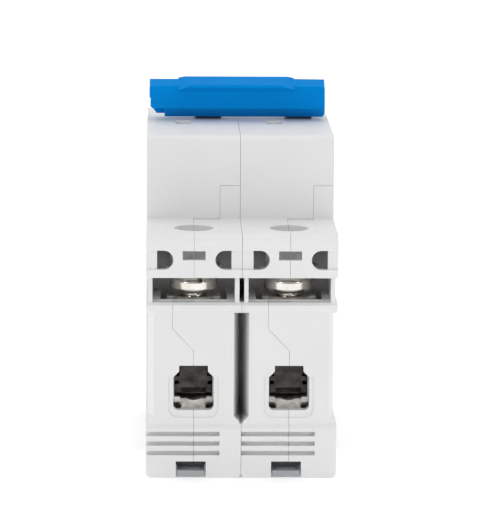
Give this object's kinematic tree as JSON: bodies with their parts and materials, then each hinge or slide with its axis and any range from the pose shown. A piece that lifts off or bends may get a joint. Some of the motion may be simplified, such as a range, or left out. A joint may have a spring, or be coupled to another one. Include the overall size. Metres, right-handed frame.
{
  "type": "two-pole miniature circuit breaker",
  "caption": "Two-pole rail-mounted circuit breaker with a blue toggle bar, cage terminals at both ends and a working trip mechanism.",
  "frame": {"origin": "middle of the rail side, at the backs of the terminal blocks", "axes": "+Z to the front with the toggle, -Y to the line terminals, X across the poles; +Y is the longest extent"},
  "size_m": [0.0356, 0.084, 0.0703],
  "materials": {
    "housing_white": "fine-textured moulded thermoset, light grey-white",
    "toggle_blue": "satin blue thermoplastic",
    "hub_grey": "satin",
    "clip_grey_blue": "satin bluish grey",
    "nickel_plate": "bright nickel plating",
    "zinc_steel": "zinc-plated steel",
    "dark_steel": "oxide-dark steel",
    "copper": "bare copper",
    "contact_copper": "copper with a silver-faced contact",
    "bimetal": "rolled strip",
    "mechanism_black": "glass-filled moulding",
    "fibre_card": "vulcanised fibre",
    "spring_steel": "drawn wire",
    "flag": "white half and green half"
  },
  "bodies": {
    "case": {"housing_base_1": "housing_white", "housing_cover_1": "housing_white", "line_conductor_1": "dark_steel", "load_conductor_1": "dark_steel", "magnet_coil_1": "copper", "coil_bobbin_1": "mechanism_black", "magnet_yoke_1": "dark_steel", "fixed_contact_1": "contact_copper", "arc_plates_1": "zinc_steel", "arc_chute_card_1": "fibre_card", "arc_horn_1": "dark_steel", "bimetal_1": "bimetal", "flexible_braid_1": "copper", "toggle_spring_1": "spring_steel", "housing_base_2": "housing_white", "housing_cover_2": "housing_white", "line_conductor_2": "dark_steel", "load_conductor_2": "dark_steel", "magnet_coil_2": "copper", "coil_bobbin_2": "mechanism_black", "magnet_yoke_2": "dark_steel", "fixed_contact_2": "contact_copper", "arc_plates_2": "zinc_steel", "arc_chute_card_2": "fibre_card", "arc_horn_2": "dark_steel", "bimetal_2": "bimetal", "flexible_braid_2": "copper", "toggle_spring_2": "spring_steel", "case_rivets": "nickel_plate", "plunger_spring_1": "spring_steel", "plunger_spring_2": "spring_steel"},
    "toggle": {"toggle_bar": "toggle_blue", "handle_hub_1": "hub_grey", "handle_hub_2": "hub_grey"},
    "trip_bar": {"trip_lever_1": "mechanism_black", "trip_lever_2": "mechanism_black", "trip_coupling_pin": "zinc_steel"},
    "contact_arm_1": {"moving_contact_1": "contact_copper", "contact_carrier_1": "mechanism_black"},
    "link_1": {"handle_link_1": "spring_steel"},
    "flag_1": {"position_flag_1": "flag"},
    "plunger_1": {"plunger_1": "zinc_steel"},
    "rail_clip_1": {"rail_clip_1": "clip_grey_blue"},
    "line_screw_1": {"line_screw_1": "nickel_plate"},
    "line_clamp_1": {"line_clamp_1": "zinc_steel"},
    "load_screw_1": {"load_screw_1": "nickel_plate"},
    "load_clamp_1": {"load_clamp_1": "zinc_steel"},
    "contact_arm_2": {"moving_contact_2": "contact_copper", "contact_carrier_2": "mechanism_black"},
    "link_2": {"handle_link_2": "spring_steel"},
    "flag_2": {"position_flag_2": "flag"},
    "plunger_2": {"plunger_2": "zinc_steel"},
    "rail_clip_2": {"rail_clip_2": "clip_grey_blue"},
    "line_screw_2": {"line_screw_2": "nickel_plate"},
    "line_clamp_2": {"line_clamp_2": "zinc_steel"},
    "load_screw_2": {"load_screw_2": "nickel_plate"},
    "load_clamp_2": {"load_clamp_2": "zinc_steel"}
  },
  "joints": [
    {"name": "toggle_throw", "type": "hinge", "parent": "case", "child": "toggle", "pos_m": [0, 0.0105, 0.053], "axis": [1, 0, 0], "range_deg": [-52, 0]},
    {"name": "trip_bar_tilt", "type": "hinge", "parent": "case", "child": "trip_bar", "pos_m": [0, 0.0184, 0.0445], "axis": [1, 0, 0], "range_deg": [-10, 0], "stiffness_Nm_per_rad": 0.004, "springref_deg": 20.05},
    {"name": "contact_swing_1", "type": "hinge", "parent": "case", "child": "contact_arm_1", "pos_m": [-0.00877, 0.0105, 0.035], "axis": [1, 0, 0], "range_deg": [0, 18.01]},
    {"name": "link_turn_1", "type": "hinge", "parent": "toggle", "child": "link_1", "pos_m": [-0.00577, 0.01234, 0.04922], "axis": [1, 0, 0], "range_deg": [0, 64.46]},
    {"name": "flag_slide_1", "type": "slide", "parent": "case", "child": "flag_1", "axis": [0, 1, 0], "range_m": [0, 0.00601]},
    {"name": "plunger_slide_1", "type": "slide", "parent": "case", "child": "plunger_1", "axis": [0, 1, 0], "range_m": [0, 0.0013], "stiffness_N_per_m": 60, "springref_m": -0.002, "deforming": ["plunger_spring_1"]},
    {"name": "rail_clip_slide_1", "type": "slide", "parent": "case", "child": "rail_clip_1", "axis": [0, -1, 0], "range_m": [0, 0.0025], "stiffness_N_per_m": 800, "springref_m": -0.001},
    {"name": "line_screw_turn_1", "type": "hinge", "parent": "case", "child": "line_screw_1", "pos_m": [-0.0089, -0.0333, 0.038], "axis": [0, 0, 1], "range_deg": [-135.5, 1170.5]},
    {"name": "line_clamp_lift_1", "type": "slide", "parent": "case", "child": "line_clamp_1", "axis": [0, 0, 1], "range_m": [-0.0026, 0.0003]},
    {"name": "load_screw_turn_1", "type": "hinge", "parent": "case", "child": "load_screw_1", "pos_m": [-0.0089, 0.0333, 0.038], "axis": [0, 0, 1], "range_deg": [-135.5, 1170.5]},
    {"name": "load_clamp_lift_1", "type": "slide", "parent": "case", "child": "load_clamp_1", "axis": [0, 0, 1], "range_m": [-0.0026, 0.0003]},
    {"name": "contact_swing_2", "type": "hinge", "parent": "case", "child": "contact_arm_2", "pos_m": [0.00903, 0.0105, 0.035], "axis": [1, 0, 0], "range_deg": [0, 18.01]},
    {"name": "link_turn_2", "type": "hinge", "parent": "toggle", "child": "link_2", "pos_m": [0.01203, 0.01234, 0.04922], "axis": [1, 0, 0], "range_deg": [0, 64.46]},
    {"name": "flag_slide_2", "type": "slide", "parent": "case", "child": "flag_2", "axis": [0, 1, 0], "range_m": [0, 0.00601]},
    {"name": "plunger_slide_2", "type": "slide", "parent": "case", "child": "plunger_2", "axis": [0, 1, 0], "range_m": [0, 0.0013], "stiffness_N_per_m": 60, "springref_m": -0.002, "deforming": ["plunger_spring_2"]},
    {"name": "rail_clip_slide_2", "type": "slide", "parent": "case", "child": "rail_clip_2", "axis": [0, -1, 0], "range_m": [0, 0.0025], "stiffness_N_per_m": 800, "springref_m": -0.001},
    {"name": "line_screw_turn_2", "type": "hinge", "parent": "case", "child": "line_screw_2", "pos_m": [0.0089, -0.0333, 0.038], "axis": [0, 0, 1], "range_deg": [-135.5, 1170.5]},
    {"name": "line_clamp_lift_2", "type": "slide", "parent": "case", "child": "line_clamp_2", "axis": [0, 0, 1], "range_m": [-0.0026, 0.0003]},
    {"name": "load_screw_turn_2", "type": "hinge", "parent": "case", "child": "load_screw_2", "pos_m": [0.0089, 0.0333, 0.038], "axis": [0, 0, 1], "range_deg": [-135.5, 1170.5]},
    {"name": "load_clamp_lift_2", "type": "slide", "parent": "case", "child": "load_clamp_2", "axis": [0, 0, 1], "range_m": [-0.0026, 0.0003]}
  ],
  "couplings": [
    {"joint": "contact_swing_1", "follows": "toggle_throw", "ratio": -0.34615},
    {"joint": "link_turn_1", "follows": "toggle_throw", "ratio": -1.2387},
    {"joint": "flag_slide_1", "follows": "toggle_throw", "m_per_rad": -0.0066111},
    {"joint": "line_screw_turn_1", "follows": "line_clamp_lift_1", "rad_per_m": -7854},
    {"joint": "load_screw_turn_1", "follows": "load_clamp_lift_1", "rad_per_m": -7854},
    {"joint": "contact_swing_2", "follows": "toggle_throw", "ratio": -0.34615},
    {"joint": "link_turn_2", "follows": "toggle_throw", "ratio": -1.2387},
    {"joint": "flag_slide_2", "follows": "toggle_throw", "m_per_rad": -0.0066111},
    {"joint": "line_screw_turn_2", "follows": "line_clamp_lift_2", "rad_per_m": -7854},
    {"joint": "load_screw_turn_2", "follows": "load_clamp_lift_2", "rad_per_m": -7854}
  ]
}
